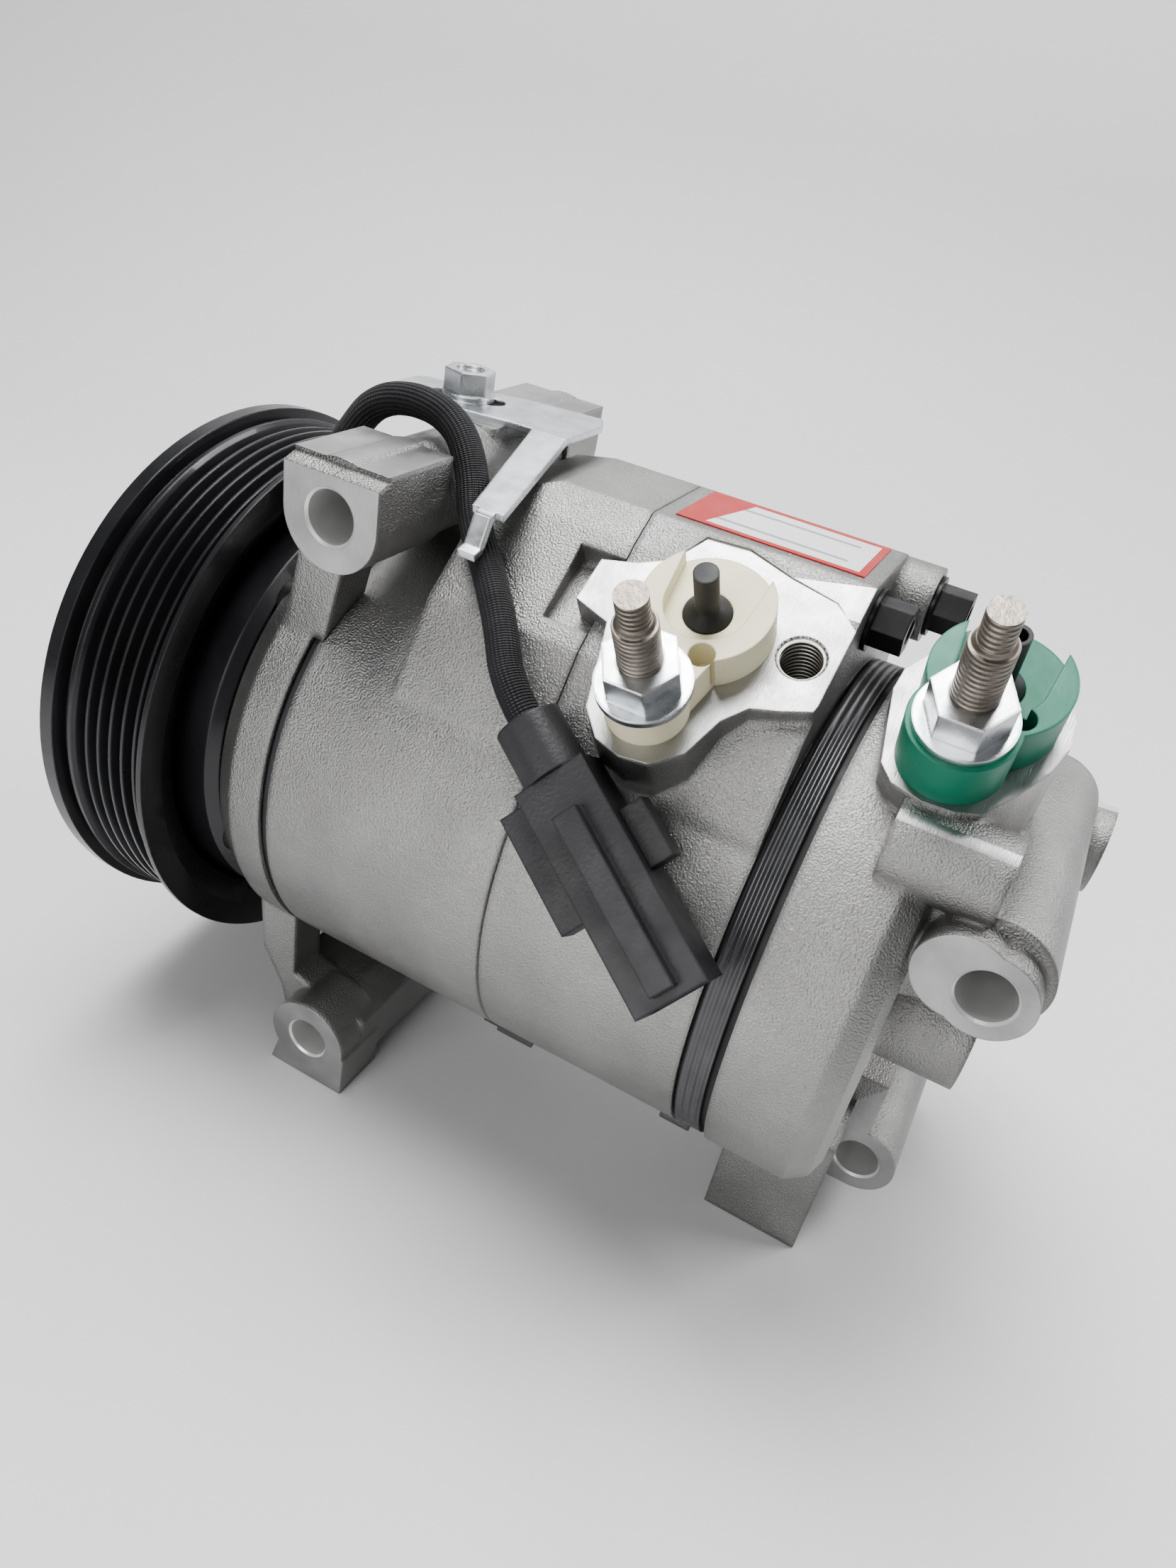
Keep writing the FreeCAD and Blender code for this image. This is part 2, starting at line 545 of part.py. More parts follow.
def rear_housing():
    y0, y1 = REAR_PACK_Y, REAR_END_Y
    shell = revolve([(2.0, y0), (REAR_BODY_R, y0), (REAR_BODY_R, y1 - 6.0), (REAR_BODY_R - 3.0, y1 - 1.6),
                     (REAR_BODY_R - 7.0, y1), (2.0, y1)])
    pad = DISCHARGE.put(zprism(discharge_pad_outline(), -26.0, 0.0)).common(box(-20, 90, y0, 210, 5, 120))
    ey, ez = REAR_EAR
    bar = xcyl(REAR_BAR_R, REAR_EAR_FAR_X, REAR_EAR_FACE_X - 6.0, ey - 1.0, ez + 1.0)
    ear = union([xcyl(REAR_EAR_R, REAR_EAR_FACE_X - 8.0, REAR_EAR_FACE_X, ey, ez),
                 xcyl(REAR_EAR_R, REAR_EAR_FACE_X - 8.0, REAR_EAR_FACE_X, ey - REAR_EAR_STRETCH, ez + 1.5),
                 xprism([(ey, ez + REAR_EAR_R), (ey - REAR_EAR_STRETCH, ez + REAR_EAR_R + 1.5),
                         (ey - REAR_EAR_STRETCH, ez - REAR_EAR_R + 1.5), (ey, ez - REAR_EAR_R)],
                        REAR_EAR_FACE_X - 8.0, REAR_EAR_FACE_X)])
    saddle = xprism([(y1 - 2, ez + 12), (ey - 1, ez + 11), (ey - 1, ez - 10), (y1 - 2, ez - 14)],
                    REAR_EAR_FAR_X + 2, REAR_EAR_FACE_X - 8.0)
    bosses = [cyl(8.9, y1 - 12, 183.0, 33.5, 45.1), cyl(10.5, y1 - 4, 202.0, -36.0, 21.0),
              cyl(12.0, y1 - 4, 190.0, 23.0, 3.0)]
    leg = box(-22.0, 24.0, 151.5, 175.5, FLOOR_Z, -44.0)
    ly, lz = LOW_REAR_EAR
    low_ear = union([xcyl(LOW_REAR_EAR_R, LOW_REAR_FAR_X, LOW_REAR_NEAR_X, ly, lz),
                     box(LOW_REAR_FAR_X, LOW_REAR_NEAR_X, 160.0, ly, lz - LOW_REAR_EAR_R, -36.0)])
    body = union([shell, pad, bar, ear, saddle, leg, low_ear] + bosses)
    cuts = [cyl(16.0, y0 - 1, y1 - 5.0), tube(47.0, 21.0, y0 - 1, y1 - 5.0)]
    keep = [cyl(BOLT_HEAD_R + 1.5, y0 - 2, y1, x, z) for x, z in bolt_places()]
    keep.append(DISCHARGE.put(zcyl(STUD_R + 3.0, -STUD_BELOW - 3.0, 1, *DISCHARGE_SET[0])))
    cuts[1] = cuts[1].cut(keep)
    cuts += [cyl(BOLT_R, y0 - 1, y0 + 12.0, x, z) for x, z in bolt_places()]
    cuts.append(chamfered_bore_x(EAR_BORE_R, REAR_EAR_FAR_X, REAR_EAR_FACE_X, ey, ez, EAR_CHAMFER))
    cuts.append(chamfered_bore_x(EAR_BORE_R, LOW_REAR_FAR_X, LOW_REAR_NEAR_X, ly, lz, EAR_CHAMFER))
    cuts.append(DISCHARGE.put(zcyl(DISCHARGE_PORT_R, -PORT_DEPTH, 1, *DISCHARGE_SET[1])))
    cuts.append(DISCHARGE.put(zcyl(STUD_R, -STUD_BELOW, 1, *DISCHARGE_SET[0])))
    return biggest(body.cut(cuts))


# ---------------------------------------------------------------- valve gear and fasteners
def valve_disc(y0, y1, holes):
    disc = cyl(52.0, y0, y1)
    cuts = [cyl(SHAFT_R + 1.5, y0 - 1, y1 + 1)] + bolt_holes(y0 - 1, y1 + 1)
    for index in range(CYLINDERS):
        degrees = FIRST_BORE_DEG + 360.0 * index / CYLINDERS
        for radius, hole_r in holes:
            cuts.append(cyl(hole_r, y0 - 1, y1 + 1, *polar(radius, degrees)))
    return disc.cut(cuts)


def reed_disc(y0, y1):
    """Thin spring-steel disc with a slotted tongue at each cylinder."""
    disc = valve_disc(y0, y1, ((24.0, 2.0),))
    slot = box(-5.0, 5.0, y0 - 1, y1 + 1, 31.0, 43.0).cut(box(-3.6, 3.6, y0 - 1, y1 + 1, 29.0, 41.5))
    return disc.cut(around(slot, CYLINDERS, FIRST_BORE_DEG - 90.0))


def rear_pack_ring(y0, y1, radius):
    """Rear valve plate or gasket: a full-width plate that shows at the outside."""
    disc = cyl(radius, y0, y1)
    cuts = [cyl(SHAFT_R + 1.5, y0 - 1, y1 + 1)] + bolt_holes(y0 - 1, y1 + 1)
    for index in range(CYLINDERS):
        degrees = FIRST_BORE_DEG + 360.0 * index / CYLINDERS
        for radius_at, hole_r in ((27.0, 3.0), (40.0, 3.0)):
            cuts.append(cyl(hole_r, y0 - 1, y1 + 1, *polar(radius_at, degrees)))
    return disc.cut(cuts)


def through_bolts():
    bolts = []
    head_y = COIL_SEAT_Y + BOLT_HEAD_H + 0.5
    for x, z in bolt_places():
        shank = cyl(BOLT_R, head_y, REAR_PACK_Y + 11.0, x, z)
        head = cyl(BOLT_HEAD_R, head_y - BOLT_HEAD_H, head_y, x, z)
        socket = Part.makeCylinder(2.4, 3.0, V(x, head_y - BOLT_HEAD_H - 0.1, z), V(0, 1, 0))
        bolts.append(union([shank, head]).cut(socket))
    return group(bolts)


def lug_bolts():
    """Black flange bolts on the top of the casing, heads towards the rear."""
    bolts = []
    for x, z, y0, y1 in LUGS:
        head = hexagon(LUG_HEX, 0.8, 7.6).cut(zcyl(2.6, 3.5, 8.0))
        bolt = union([zcyl(LUG_BOLT_R, y0 - y1, 0.9), zcyl(6.4, 0.0, 0.9), head])
        bolt.rotate(V(0, 0, 0), V(1, 0, 0), -90)
        bolt.translate(V(x, y1, z))
        bolts.append(bolt)
    return group(bolts)


# ---------------------------------------------------------------- running gear
def shaft():
    body = revolve([(0.01, SHAFT_FRONT_Y), (SHAFT_NOSE_R - 0.6, SHAFT_FRONT_Y),
                    (SHAFT_NOSE_R, SHAFT_FRONT_Y + 0.6), (SHAFT_NOSE_R, SHAFT_STEP_Y),
                    (SHAFT_R, SHAFT_STEP_Y + 1.5), (SHAFT_R, SHAFT_REAR_Y - 1.0),
                    (SHAFT_R - 1.0, SHAFT_REAR_Y), (0.01, SHAFT_REAR_Y)])
    rod = cyl(0.02, SHAFT_FRONT_Y, SHAFT_REAR_Y)
    return union([body, rod]).cut(cyl(3.0, SHAFT_FRONT_Y - 1, SHAFT_FRONT_Y + 16.0))


def swash_plate():
    hub = cyl(SWASH_HUB_R, SWASH_Y - SWASH_HUB_HALF, SWASH_Y + SWASH_HUB_HALF)
    return union([swash_slab(SWASH_R, SWASH_T), hub]).cut(
        cyl(SHAFT_R + RUNNING_GAP, SWASH_Y - 30, SWASH_Y + 30))


def shoe_ball(index, radius):
    x, z, offset = bore_place(index)
    return Part.makeSphere(radius, V(x, SWASH_Y + offset, z))


def piston_length():
    return REAR_SEAM_Y - FRONT_SEAM_Y - STROKE - 2.0 * PISTON_END_GAP


def piston(index):
    x, z, offset = bore_place(index)
    centre, half = SWASH_Y + offset, piston_length() / 2.0
    radius = BORE_R - SLIDING_GAP
    body = cyl(radius, centre - half, centre + half, x, z)
    cuts = [cyl(SWASH_R + 1.6, centre - PISTON_SLOT_HALF, centre + PISTON_SLOT_HALF),
            swash_slab(SWASH_R + 1.3, SWASH_T + 1.2), shoe_ball(index, SHOE_BALL_R + SEAT_GAP),
            cyl(SWASH_HUB_R + 2.0, centre - 16.0, centre + 16.0)]
    for end, sign in ((centre - half, 1), (centre + half, -1)):
        g0 = end + sign * RING_INSET
        g1 = g0 + sign * RING_W
        cuts.append(tube(radius + 1, radius - RING_DEPTH, min(g0, g1), max(g0, g1), x, z))
    for sign in (-1, 1):
        y = centre + sign * (half - 10.0)
        cuts.append(cyl(9.0, min(y, centre + sign * 16.0), max(y, centre + sign * 16.0), x, z))
    body = body.cut(cuts)
    return biggest(body)


def piston_rings():
    rings = []
    for index in range(CYLINDERS):
        x, z, offset = bore_place(index)
        centre, half = SWASH_Y + offset, piston_length() / 2.0
        for end, sign in ((centre - half, 1), (centre + half, -1)):
            g0 = end + sign * (RING_INSET + 0.1)
            g1 = end + sign * (RING_INSET + RING_W - 0.1)
            ring = tube(BORE_R - 0.01, BORE_R - RING_DEPTH + 0.05, min(g0, g1), max(g0, g1), x, z)
            rings.append(ring.cut(box(x - 0.4, x + 0.4, min(g0, g1) - 1, max(g0, g1) + 1, z, z + 20)))
    return group(rings)


def piston_shoes():
    shoes = []
    slab = swash_slab(SWASH_R + 30.0, SWASH_T + 2 * SEAT_GAP)
    for index in range(CYLINDERS):
        shoes += shoe_ball(index, SHOE_BALL_R).cut(slab).Solids
    return group(shoes)


def thrust_bearing(y0):
    washers = [tube(SWASH_HUB_R, SHAFT_R + 0.6, y0 + 0.05, y0 + 0.75),
               tube(SWASH_HUB_R, SHAFT_R + 0.6, y0 + THRUST_T - 0.75, y0 + THRUST_T - 0.05)]
    roller = Part.makeCylinder(0.95, 4.4, V(0, y0 + THRUST_T / 2.0, SHAFT_R + 1.2), V(0, 0, 1))
    return group(washers + around(roller, 14))


def needle_bearing(y0):
    cup = tube(NEEDLE_R, NEEDLE_R - 1.0, y0, y0 + NEEDLE_LEN)
    gap = SHAFT_R + RUNNING_GAP
    radius = (NEEDLE_R - 1.0 - 0.05 - gap) / 2.0
    needle = Part.makeCylinder(radius, NEEDLE_LEN - 3.0, V(0, y0 + 1.5, gap + radius), V(0, 1, 0))
    return group([cup] + around(needle, 16))


def shaft_seal():
    y0, y1 = SEAL_Y
    return revolve([(SHAFT_NOSE_R + RUNNING_GAP, y0 + 3.0), (SHAFT_NOSE_R + 1.2, y0 + 1.0),
                    (SHAFT_NOSE_R + 2.5, y0 + 0.2), (SEAL_R - SEAT_GAP, y0 + 0.2),
                    (SEAL_R - SEAT_GAP, y1 - 0.2),
                    (SEAL_R - 3.0, y1 - 0.2), (SEAL_R - 3.0, y0 + 3.0), (SHAFT_NOSE_R + 2.0, y0 + 3.0),
                    (SHAFT_NOSE_R + 1.2, y0 + 4.4), (SHAFT_NOSE_R + RUNNING_GAP, y0 + 4.0)])


def snap_ring(r_in, r_out, y0, gap_deg):
    ring = tube(r_out, r_in, y0, y0 + SNAP_T)
    x, z = r_out * 2.0, r_out * 2.0 * math.tan(math.radians(gap_deg / 2.0))
    corners = [V(0, y0 - 1, 0), V(-z, y0 - 1, -x), V(z, y0 - 1, -x), V(0, y0 - 1, 0)]
    wedge = Part.Face(Part.makePolygon(corners))
    return ring.cut(wedge.extrude(V(0, SNAP_T + 2, 0)))


# ---------------------------------------------------------------- clutch
def pulley():
    outer = [(RIM_IN_R, PULLEY_FRONT_Y), (PULLEY_R - 0.8, PULLEY_FRONT_Y), (PULLEY_R, PULLEY_FRONT_Y + 0.8),
             (PULLEY_R, PULLEY_FRONT_Y + RIM_W), (RIB_TIP_R - 0.8, PULLEY_FRONT_Y + RIM_W + 0.8),
             (RIB_TIP_R - 0.8, PULLEY_FRONT_Y + 7.3), (RIB_TIP_R + 0.9, PULLEY_FRONT_Y + 7.3),
             (RIB_TIP_R + 0.9, PULLEY_FRONT_Y + 8.4)]
    for index in range(RIB_COUNT):
        middle = (index - (RIB_COUNT - 1) / 2.0) * RIB_PITCH
        outer += [(RIB_TIP_R, middle - RIB_PITCH / 2.0 + 0.35), (RIB_TIP_R - RIB_DEPTH, middle - 0.3),
                  (RIB_TIP_R - RIB_DEPTH, middle + 0.3), (RIB_TIP_R, middle + RIB_PITCH / 2.0 - 0.35)]
    outer += [(PULLEY_R, PULLEY_REAR_Y - FLANGE_T + 0.6), (PULLEY_R, PULLEY_REAR_Y),
              (PULLEY_R - 6.0, PULLEY_REAR_Y)]
    inner = [(COIL_OUT_R + 1.5, PULLEY_REAR_Y - 3.0), (COIL_OUT_R + 1.5, FRICTION_Y + WEB_T + 1.5),
             (COIL_OUT_R, FRICTION_Y + WEB_T), (COIL_IN_R + 0.5, FRICTION_Y + WEB_T),
             (ROTOR_HUB_R, FRICTION_Y + WEB_T + 0.5), (ROTOR_HUB_R, PULLEY_REAR_Y - 0.2),
             (BEARING_OUT_R, PULLEY_REAR_Y - 0.2), (BEARING_OUT_R, BEARING_FRONT_Y - 0.02),
             (BEARING_OUT_R - 1.6, BEARING_FRONT_Y - 0.02), (BEARING_OUT_R - 1.6, FRICTION_Y - 1.2),
             (ROTOR_HUB_R + 0.4, FRICTION_Y), (RIM_IN_R - 1.0, FRICTION_Y)]
    body = revolve(outer + inner)
    slots = []
    for index, (r0, r1) in enumerate(SLOT_RINGS):
        ring = tube(r1, r0, FRICTION_Y - 1, FRICTION_Y + WEB_T + 1)
        edge = math.tan(math.radians(SLOT_DEG / 2.0)) * 80.0
        wedge = Part.Face(Part.makePolygon([V(0, -20, 0), V(-edge, -20, 80), V(edge, -20, 80), V(0, -20, 0)]))
        piece = ring.common(wedge.extrude(V(0, 40, 0)))
        slots += around(piece, SLOT_COUNT, 30.0 * index)
    return body.cut(slots)


def bearing_outer():
    y0, y1 = BEARING_FRONT_Y, BEARING_FRONT_Y + BEARING_W - 2.0
    middle = (y0 + y1) / 2.0
    ring = tube(BEARING_OUT_R - 0.01, BEARING_OUT_R - BEARING_RING_T, y0, y1)
    return ring.cut(bearing_track(middle, 0.03))


def bearing_inner():
    y0, y1 = BEARING_FRONT_Y, BEARING_FRONT_Y + BEARING_W
    middle = (BEARING_FRONT_Y * 2 + BEARING_W - 2.0) / 2.0
    ring = tube(NOSE_R + BEARING_RING_T, NOSE_R + SEAT_GAP, y0, y1)
    return ring.cut(bearing_track(middle, 0.03))


def bearing_track(middle, gap):
    radius = (NOSE_R + BEARING_OUT_R) / 2.0
    torus = [Part.makeTorus(radius, BEARING_BALL_R + gap, V(0, middle + dy, 0), V(0, 1, 0))
             for dy in (-BEARING_ROW, BEARING_ROW)]
    return union(torus)


def bearing_balls():
    radius = (NOSE_R + BEARING_OUT_R) / 2.0
    middle = (BEARING_FRONT_Y * 2 + BEARING_W - 2.0) / 2.0
    balls = []
    for dy in (-BEARING_ROW, BEARING_ROW):
        ball = Part.makeSphere(BEARING_BALL_R, V(0, middle + dy, radius))
        balls += around(ball, BALL_COUNT)
    return group(balls)


def coil_shell():
    rear = COIL_SEAT_Y - COIL_PLATE_T
    return revolve([(COIL_IN_R, COIL_FRONT_Y), (COIL_IN_R + COIL_WALL, COIL_FRONT_Y),
                   (COIL_IN_R + COIL_WALL, rear - COIL_WALL), (COIL_OUT_R - COIL_WALL, rear - COIL_WALL),
                   (COIL_OUT_R - COIL_WALL, COIL_FRONT_Y), (COIL_OUT_R, COIL_FRONT_Y), (COIL_OUT_R, rear),
                   (COIL_OUT_R - 2.0, COIL_SEAT_Y - SEAT_GAP),
                   (COIL_SEAT_R + SEAT_GAP, COIL_SEAT_Y - SEAT_GAP),
                   (COIL_SEAT_R + SEAT_GAP, rear), (COIL_IN_R, rear)])


def field_coil():
    rear = COIL_SEAT_Y - COIL_PLATE_T
    return tube(COIL_OUT_R - COIL_WALL - 0.05, COIL_IN_R + COIL_WALL + 0.05, COIL_FRONT_Y + 0.8,
                rear - COIL_WALL - 0.05)


ARMATURE_FRONT = FRICTION_Y - AIR_GAP - ARMATURE_T
SPRING_FRONT = ARMATURE_FRONT - SPRING_T
HUB_PLATE_FRONT = SPRING_FRONT - HUB_PLATE_T


def armature_plate():
    r0, r1 = ARMATURE_R
    ring = tube(r1, r0, ARMATURE_FRONT, FRICTION_Y - AIR_GAP)
    slot_ring = tube(44.5, 42.0, ARMATURE_FRONT - 1, FRICTION_Y)
    edge = math.tan(math.radians(15.0)) * 80.0
    wedge = Part.Face(Part.makePolygon([V(0, -40, 0), V(-edge, -40, 80), V(edge, -40, 80), V(0, -40, 0)]))
    slot = slot_ring.common(wedge.extrude(V(0, 60, 0)))
    holes = [cyl(RIVET_R + 0.02, ARMATURE_FRONT - 1, FRICTION_Y, *polar(ARM_RIVET_R, deg))
             for deg in rivet_degrees(SPRING_SWEEP)]
    return ring.cut(around(slot, 3, 0.0) + holes)


def rivet_degrees(sweep):
    return [90.0 + sweep + 120.0 * index for index in range(SPRINGS)]


def spring_strap(y0, y1):
    """Flat leaf spring from a hub rivet to an armature rivet."""
    x0, z0 = polar(HUB_RIVET_R, 90.0)
    x1, z1 = polar(ARM_RIVET_R, 90.0 + SPRING_SWEEP)
    length = math.hypot(x1 - x0, z1 - z0)
    half = SPRING_W / 2.0
    strap = union([box(0, length, y0, y1, -half + 1.5, half - 1.5), cyl(half, y0, y1, 0, 0),
                   cyl(half, y0, y1, length, 0)])
    strap = strap.cut([cyl(RIVET_R + 0.02, y0 - 1, y1 + 1, x, 0) for x in (0, length)])
    strap.rotate(V(0, 0, 0), V(0, 1, 0), -math.degrees(math.atan2(z1 - z0, x1 - x0)))
    strap.translate(V(x0, 0, z0))
    return strap


def leaf_springs():
    return group(around(spring_strap(SPRING_FRONT, ARMATURE_FRONT), SPRINGS))


def hub():
    plate = cyl(HUB_PLATE_R, HUB_PLATE_FRONT, SPRING_FRONT)
    sleeve = cyl(HUB_SLEEVE_R, HUB_PLATE_FRONT, 5.0)
    body = union([plate, sleeve])
    cuts = [cyl(SHAFT_NOSE_R + 0.0, SHAFT_FRONT_Y - 1.2, 6.0), cyl(3.2, HUB_PLATE_FRONT - 1, 0)]
    cuts += [cyl(RIVET_R + 0.02, HUB_PLATE_FRONT - 1, SPRING_FRONT + 1, *polar(HUB_RIVET_R, 90.0 + 120.0 * k))
             for k in range(SPRINGS)]
    return body.cut(cuts)


def rivets(radius, degrees_list, y_head, y_tail):
    solids = []
    for degrees in degrees_list:
        x, z = polar(radius, degrees)
        solids.append(union([cyl(RIVET_R, y_head, y_tail, x, z),
                             cyl(RIVET_HEAD_R, y_head - RIVET_HEAD_H, y_head, x, z)]))
    return group(solids)


def hub_bolt():
    head = hexagon(10.0, 0.0, 3.2)
    bolt = union([head, zcyl(2.98, -14.0, 0.1), zcyl(7.0, 0.0, 0.9)])
    bolt.rotate(V(0, 0, 0), V(1, 0, 0), 90)
    bolt.translate(V(0, HUB_PLATE_FRONT, 0))
    return bolt


def hub_shims():
    return tube(SHAFT_NOSE_R - 0.1, 3.2, SHAFT_FRONT_Y - 1.2, SHAFT_FRONT_Y)


# ---------------------------------------------------------------- ports and shipping caps
def stud(pad, port_set):
    at, length = port_set[0], port_set[5]
    shoulder = length - STUD_TIP_L
    solid = union([zcyl(STUD_R, -STUD_BELOW, shoulder, *at), zcyl(STUD_TIP_R, shoulder, length, *at),
                   Part.makeCone(STUD_R, STUD_TIP_R, 1.4, V(at[0], at[1], shoulder))])
    return pad.put(solid)


def nut(pad, port_set):
    at, z0 = port_set[0], port_set[4] + 0.02
    hexes = hexagon(NUT_AF, z0 + NUT_FLANGE_H - 0.1, z0 + NUT_H)
    hexes.translate(V(at[0], at[1], 0))
    body = union([zcyl(NUT_FLANGE_R, z0, z0 + NUT_FLANGE_H, *at), hexes])
    return pad.put(body.cut(zcyl(STUD_R + RUNNING_GAP, z0 - 1, z0 + NUT_H + 1, *at)))


def shipping_cap(pad, port_set):
    """Moulded cap: a boss round the stud, and a crescent wall with a lower floor round the port."""
    (sx, sy), (px, py), hole, boss_r, height = port_set[:5]
    waist = [(sx - boss_r + 1.0, sy), (sx + boss_r - 1.0, sy), (px + 9.0, py), (px - 9.0, py)]
    body = union([zcyl(boss_r, 0, height, sx, sy), zcyl(CAP_PORT_R, 0, height, px, py),
                  zprism(waist, 0, height)])
    floor, inner, top = height - CAP_STEP, CAP_PORT_R - CAP_WALL, height + 1
    mouth = [(px - inner, py), (px + inner, py), (px + 8.9, py + 9.5), (px + 10.0, py + 20.0),
             (px - 10.0, py + 20.0), (px - 8.9, py + 9.5)]
    keep = zcyl(NUT_FLANGE_R - 1.0, floor, top, sx, sy)
    step = union([zcyl(inner, floor, top, px, py), zprism(mouth, floor, top)]).cut(keep)
    body = body.cut([step, zcyl(STUD_R + RUNNING_GAP, -1, top, sx, sy),
                     zcyl(PLUG_BASE_R + 0.1, -1, top, px, py), zcyl(2.5, 1.5, top, *hole)])
    body.translate(V(0, 0, 0.01))
    return pad.put(body)


def shipping_plug(pad, port_set, port_r, hollow):
    """Rubber plug in the port, with a stem to pull it by."""
    px, py = port_set[1]
    floor, stem = port_set[4] - CAP_STEP, port_set[6]
    cone = Part.makeCone(PLUG_BASE_R, PLUG_STEM_R, 2.2, V(px, py, floor + 0.3))
    body = union([zcyl(port_r - RUNNING_GAP, -9.0, 0.0, px, py), zcyl(PLUG_BASE_R, -1.0, floor + 0.3, px, py),
                  cone, zcyl(PLUG_STEM_R, floor, stem, px, py)])
    if hollow:
        body = body.cut(zcyl(PLUG_STEM_R - 0.8, floor + 4.0, stem + 1.0, px, py))
    return pad.put(body)


# ---------------------------------------------------------------- bracket, lead and connector
def cable_bracket():
    """Plate on the upper bar with an arm bent down over the lead, and a hook at its end."""
    top = TOP_EAR[1] + TOP_EAR_UP
    plate = zprism([(2.5, 21.5), (1.0, 40.0), (-1.3, 53.0), (-1.9, 58.9), (-1.3, 67.3), (-19.4, 67.2),
                    (-24.0, 64.7), (-21.6, 49.0), (-18.3, 39.3), (-14.6, 23.0), (-12.4, 21.0)],
                   top, top + BRACKET_T)
    arm = zprism([(-0.6, 58.9), (ARM_L, 65.3), (ARM_L, 66.9), (ARM_L + 1.0, 66.9), (ARM_L + 1.0, 70.7),
                  (ARM_L, 70.7), (ARM_L, 72.5), (-0.6, 67.4)], 0.0, BRACKET_T)
    tongue = box(-0.6, 6.6, 66.9, 70.7, 0.0, BRACKET_T)
    tip = box(0.0, 3.0, 66.9, 70.7, 0.0, BRACKET_T)
    tip.rotate(V(0, 0, 0), V(0, 1, 0), -48.0)
    tip.translate(V(6.4, 0, 0))
    hook = union([tongue, tip])
    hook.rotate(V(0, 0, 0), V(0, 1, 0), 52.0)
    hook.translate(V(ARM_L + 0.8, 0, 0))
    arm = union([arm, hook])
    arm.rotate(V(0, 0, 0), V(0, 1, 0), ARM_DEG)
    arm.translate(V(-1.6, 0, top))
    x, y = BRACKET_BOLT
    slot = slot_prism((x + 1.9, y - 5.2), (x - 1.9, y + 5.2), BRACKET_BOLT_R + 0.2, top - 1, top + 4)
    return union([plate, arm]).cut(slot)


def bracket_bolt():
    top = TOP_EAR[1] + TOP_EAR_UP
    head = hexagon(10.0, 1.2, 6.2).cut(zcyl(3.2, 5.2, 7.0))
    bolt = union([zcyl(BRACKET_BOLT_R, -9.8, 0.1), zcyl(6.0, 0.0, 1.3), head])
    bolt.rotate(V(0, 0, 0), V(0, 0, 1), 12)
    bolt.translate(V(BRACKET_BOLT[0], BRACKET_BOLT[1], top + BRACKET_T))
    return bolt


def rounded_path(points):
    """Straight runs joined by tangent arcs, each as large as its two runs allow."""
    corners = [V(*p) for p in points]
    edges, radii, length, start = [], [], 0.0, corners[0]
    for before, corner, after in zip(corners, corners[1:], corners[2:]):
        run_in, run_out = corner.sub(before), after.sub(corner)
        turn = run_in.getAngle(run_out)
        reach = 0.45 * min(run_in.Length, run_out.Length)
        radius = reach / math.tan(turn / 2.0)
        a = corner.sub(V(run_in).normalize() * reach)
        b = corner.add(V(run_out).normalize() * reach)
        inward = V(run_out).normalize().sub(V(run_in).normalize()).normalize()
        centre = corner.add(inward * math.hypot(radius, reach))
        middle = centre.sub(inward * radius)
        edges += [Part.LineSegment(start, a).toShape(), Part.Arc(a, middle, b).toShape()]
        length += start.distanceToPoint(a) + radius * turn
        radii.append(round(radius, 1))
        start = b
    edges.append(Part.LineSegment(start, corners[-1]).toShape())
    length += start.distanceToPoint(corners[-1])
    return Part.Wire(edges), radii, length


def coil_lead():
    wire, radii, length = rounded_path(LEAD_POINTS)
    start, onward = V(*LEAD_POINTS[0]), V(*LEAD_POINTS[1])
    direction = onward.sub(start).normalize()
    circle = Part.Wire(Part.Edge(Part.Circle(start, direction, LEAD_R)))
    solid = wire.makePipeShell([circle], True, False)
    expected = math.pi * LEAD_R ** 2 * length
    print("lead radii", radii, "length", round(length, 1), "volume ratio", round(solid.Volume / expected, 4))
    return solid


class Along:
    """Local frame at the end of the lead: z along the connector, x across the casing surface."""

    def __init__(self):
        z = V(*CONNECTOR_AXIS).normalize()
        out = V(*CONNECTOR_OUT)
        out = out.sub(z * out.dot(z)).normalize()
        turn = FreeCAD.Rotation(z.cross(V(0, 0, 0).sub(out)), out, z, "ZYX")
        self.place = FreeCAD.Placement(V(*LEAD_POINTS[-1]), turn)

    def put(self, shape):
        placed = shape.copy()
        placed.Placement = self.place.multiply(placed.Placement)
        return placed


def connector_gland():
    """Rear cap of the plug that the lead goes into."""
    return AT_PLUG.put(zcyl(GLAND_R, 0.0, GLAND_L))


def connector_shell():
    w, h = SHELL_W / 2.0, SHELL_H / 2.0
    body = zprism([(-w, -h), (w, -h), (w, h), (-w, h)], GLAND_L, GLAND_L + SHELL_L)
    rail = zprism([(-2.5, h - 0.5), (2.5, h - 0.5), (2.5, h + 2.6), (-2.5, h + 2.6)],
                  GLAND_L + 8.0, GLAND_L + SHELL_L - 2.0)
    socket = zprism([(-w + 1.6, -h + 1.6), (w - 1.6, -h + 1.6), (w - 1.6, h - 1.6), (-w + 1.6, h - 1.6)],
                    GLAND_L + SHELL_L - SOCKET_DEPTH, GLAND_L + SHELL_L + 1)
    return AT_PLUG.put(union([body, rail]).cut(socket))


def connector_terminals():
    end = GLAND_L + SHELL_L
    pins = [box(x - 0.8, x + 0.8, -0.4, 0.4, end - SOCKET_DEPTH, end - 6.0) for x in (-3.0, 3.0)]
    return AT_PLUG.put(group(pins))


